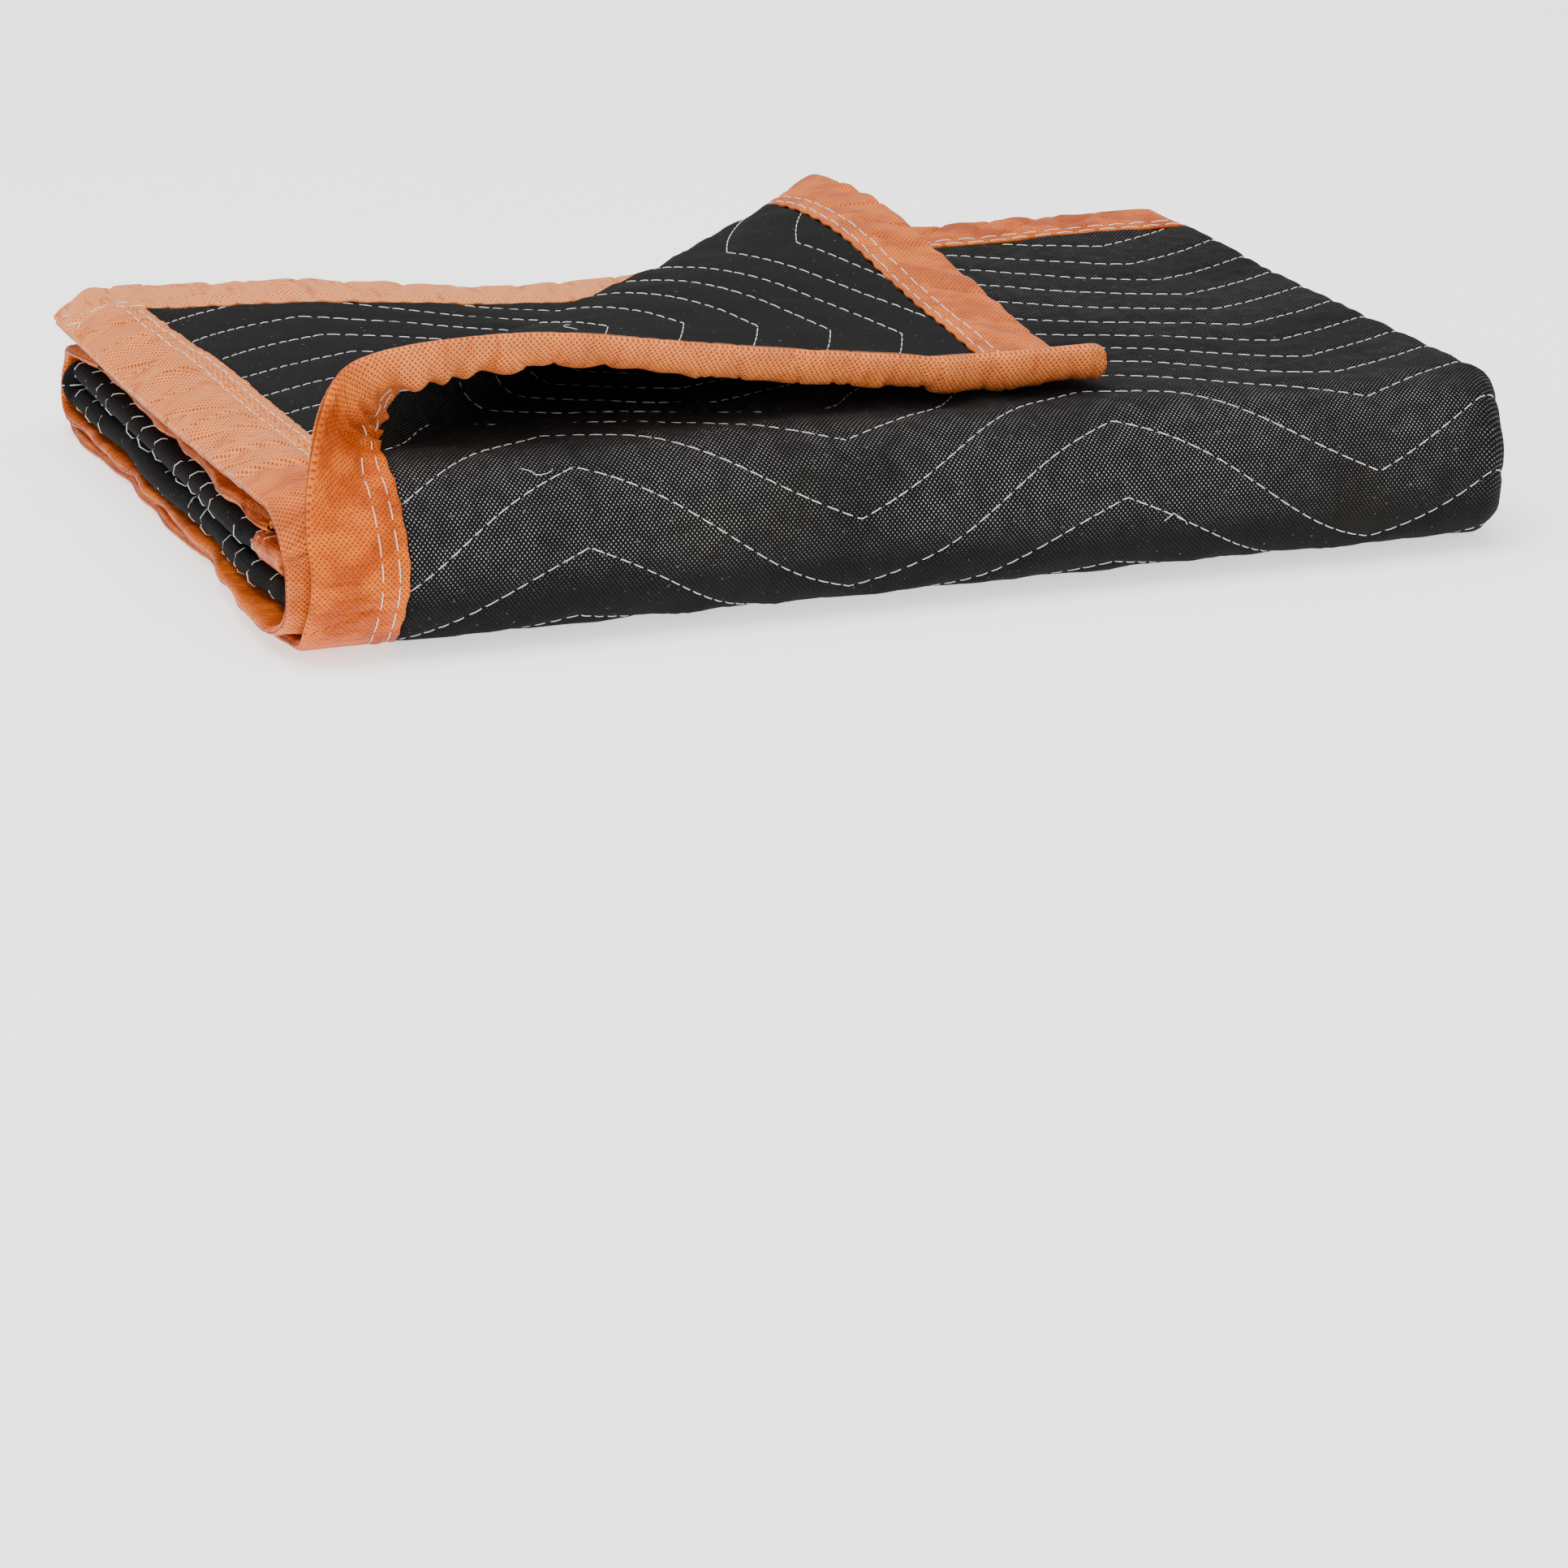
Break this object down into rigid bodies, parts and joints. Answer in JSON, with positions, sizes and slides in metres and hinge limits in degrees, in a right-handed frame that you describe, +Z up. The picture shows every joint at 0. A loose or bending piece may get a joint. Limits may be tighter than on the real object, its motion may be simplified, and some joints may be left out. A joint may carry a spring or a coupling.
{
  "type": "folded moving pad",
  "caption": "Quilted black moving pad with orange edge binding, folded into a flat stack, one corner of the outermost layer turned back over the top.",
  "frame": {"origin": "middle of the bounding box, on the underside that rests on the floor", "axes": "+X along the folded pad toward its rounded right end, +Y toward the back fold, +Z up from the floor"},
  "size_m": [0.4714, 0.3545, 0.1073],
  "materials": {
    "black_nonwoven": "matt nonwoven cloth, quilted in zigzag lines",
    "orange_binding": "lightly embossed nonwoven tape with a faint satin sheen"
  },
  "bodies": {
    "root": {"quilted_pad": "black_nonwoven", "end_binding_outer": "orange_binding", "end_binding_inner": "orange_binding", "side_binding_outer": "orange_binding", "side_binding_inner": "orange_binding"}
  },
  "joints": []
}
